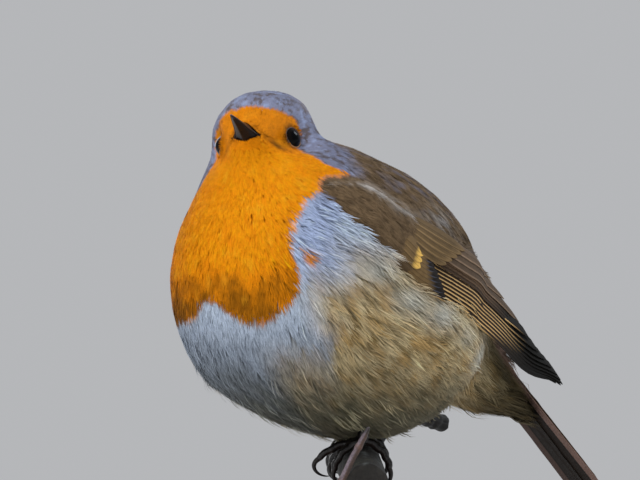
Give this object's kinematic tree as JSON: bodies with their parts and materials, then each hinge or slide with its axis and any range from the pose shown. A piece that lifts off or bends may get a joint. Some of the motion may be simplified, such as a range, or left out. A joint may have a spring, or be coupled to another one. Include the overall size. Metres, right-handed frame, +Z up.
{
  "type": "european robin on a perch and display stand",
  "caption": "Life-size European robin, fluffed up and looking to its left, gripping a short cut twig held by one rod on a round flat base. A still model.",
  "frame": {"origin": "centre of the stand base's underside, on the floor below the top of the perch midway between the feet", "axes": "+Z up, -Y the way the bird's trunk faces, +X towards the bird's left side"},
  "size_m": [0.092, 0.1196, 0.1464],
  "materials": {
    "orange_plumage": "soft matt feathers, orange on the face and breast with a blue-grey border and a brown crown",
    "flank_plumage": "soft matt feathers, buff flanks, whitish belly and olive-brown back",
    "rump_plumage": "soft matt olive-brown and buff feathers",
    "wing_feathers": "matt brown vanes with paler outer edges",
    "tail_feathers": "matt dark brown vanes",
    "eye": "wet gloss, near black",
    "bill": "satin dark horn",
    "claw": "satin dark horn",
    "leg": "scaly, satin dark brown",
    "perch_bark": "rough dark bark with some lichen",
    "perch_shoot": "smooth dry bark",
    "stand_wood": "satin varnish",
    "stand_steel": "brushed"
  },
  "bodies": {
    "root": {"bill_lower": "bill", "bill_upper": "bill", "breast": "orange_plumage", "claw_left_hind": "claw", "claw_left_inner": "claw", "claw_left_middle": "claw", "claw_left_outer": "claw", "claw_right_hind": "claw", "claw_right_inner": "claw", "claw_right_middle": "claw", "claw_right_outer": "claw", "eye_left": "eye", "eye_right": "eye", "foot_left": "leg", "foot_right": "leg", "head": "orange_plumage", "leg_left": "leg", "leg_right": "leg", "neck": "orange_plumage", "perch": "perch_bark", "perch_shoot": "perch_shoot", "rump": "rump_plumage", "stand_base": "stand_wood", "stand_rod": "stand_steel", "tail": "tail_feathers", "toe_left_hind": "leg", "toe_left_inner": "leg", "toe_left_middle": "leg", "toe_left_outer": "leg", "toe_right_hind": "leg", "toe_right_inner": "leg", "toe_right_middle": "leg", "toe_right_outer": "leg", "trunk": "flank_plumage", "wing_left_coverts": "wing_feathers", "wing_left_primaries": "wing_feathers", "wing_left_secondaries": "wing_feathers", "wing_right_coverts": "wing_feathers", "wing_right_primaries": "wing_feathers", "wing_right_secondaries": "wing_feathers"}
  },
  "joints": []
}
